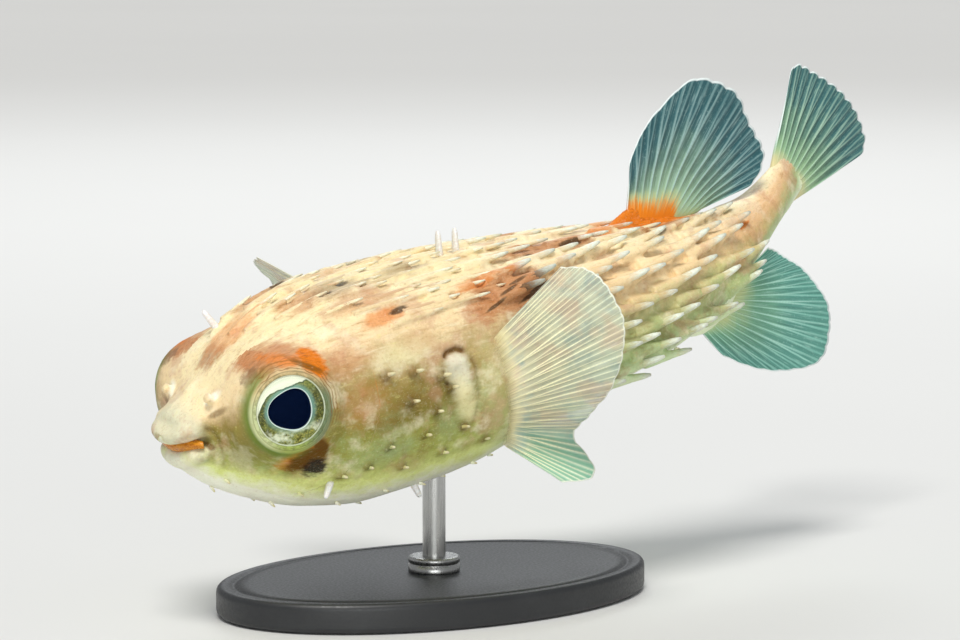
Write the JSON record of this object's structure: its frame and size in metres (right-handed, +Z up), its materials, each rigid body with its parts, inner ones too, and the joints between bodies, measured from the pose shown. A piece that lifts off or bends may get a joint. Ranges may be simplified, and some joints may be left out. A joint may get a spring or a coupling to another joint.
{
  "type": "porcupine pufferfish",
  "caption": "Life-size swimming porcupine pufferfish, quills laid back, tail swung to the right, held on a flat oval display stand by a short rod",
  "frame": {"origin": "centre of the stand's flat underside, on the surface it rests on", "axes": "+Z up, the head toward -X and tipped down, the fish's left flank toward -Y"},
  "size_m": [0.1689, 0.0763, 0.0885],
  "materials": {
    "skin": "moist satin skin, cream and peach above, pale yellow-green below, with orange and black blotches",
    "lips": "soft satin, pale cream",
    "mouth_lining": "moist orange",
    "eyes": "glossy clear dome over a mottled silver and green iris with a navy pupil",
    "fins": "thin translucent membrane, grey-green to cream, with pale rays and white margins",
    "stand": "satin black paint"
  },
  "bodies": {
    "root": {"head": "skin", "trunk": "skin", "tail": "skin", "lip_upper": "lips", "lip_lower": "lips", "mouth_lining": "mouth_lining", "eye_left": "eyes", "eye_right": "eyes", "fin_dorsal": "fins", "fin_anal": "fins", "fin_tail": "fins", "fin_pectoral_left": "fins", "fin_pectoral_right": "fins", "stand_base": "stand", "stand_rod": "stand", "stand_collar": "stand"}
  },
  "joints": []
}
